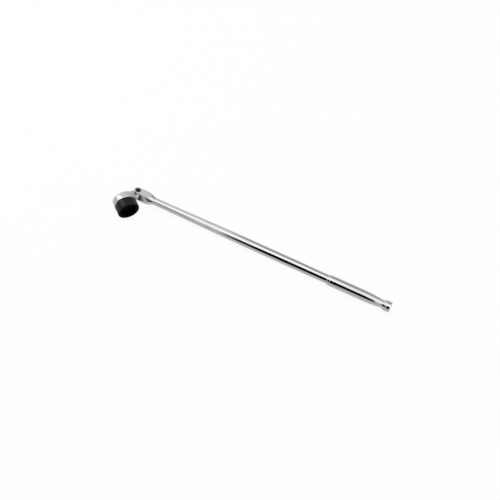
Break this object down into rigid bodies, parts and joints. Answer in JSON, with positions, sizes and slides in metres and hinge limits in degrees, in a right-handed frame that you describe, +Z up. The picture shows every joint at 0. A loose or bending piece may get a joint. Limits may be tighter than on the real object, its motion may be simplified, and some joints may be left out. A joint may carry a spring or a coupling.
{
  "type": "breaker bar",
  "caption": "Long turned steel bar whose forked end carries a swivelling disc head with a square drive and a short six-point socket.",
  "frame": {"origin": "on the bench, under the middle of the tool as it lies at rest", "axes": "+Z up, +X along the bar from the fork to the knob"},
  "size_m": [0.5796, 0.0728, 0.0504],
  "materials": {
    "polished_chrome": "bright polished plating",
    "black_steel": "satin black phosphate",
    "washer_steel": "bright spring steel",
    "friction_bronze": "plain bronze"
  },
  "bodies": {
    "handle": {"handle_bar": "polished_chrome", "pivot_screw": "black_steel", "spring_washer": "washer_steel", "upper_friction_washer": "friction_bronze", "lower_friction_washer": "friction_bronze"},
    "head": {"swivel_head": "polished_chrome", "drive_spring": "washer_steel"},
    "ball": {"drive_ball": "washer_steel"},
    "socket": {"drive_socket": "black_steel"}
  },
  "joints": [
    {"name": "head_swivel", "type": "hinge", "parent": "handle", "child": "head", "pos_m": [-0.25503, 0.02554, 0.0124], "axis": [0.0026, 0.3445, 0.9388], "range_deg": [-135, 45]},
    {"name": "ball_press", "type": "slide", "parent": "head", "child": "ball", "axis": [-0.7064, -0.6638, 0.2455], "range_m": [0, 0.0006], "stiffness_N_per_m": 1500, "springref_m": -0.0008, "deforming": ["drive_spring"]},
    {"name": "socket_pull_off", "type": "slide", "parent": "head", "child": "socket", "axis": [0.7078, -0.6638, 0.2416], "range_m": [0, 0.03]}
  ]
}
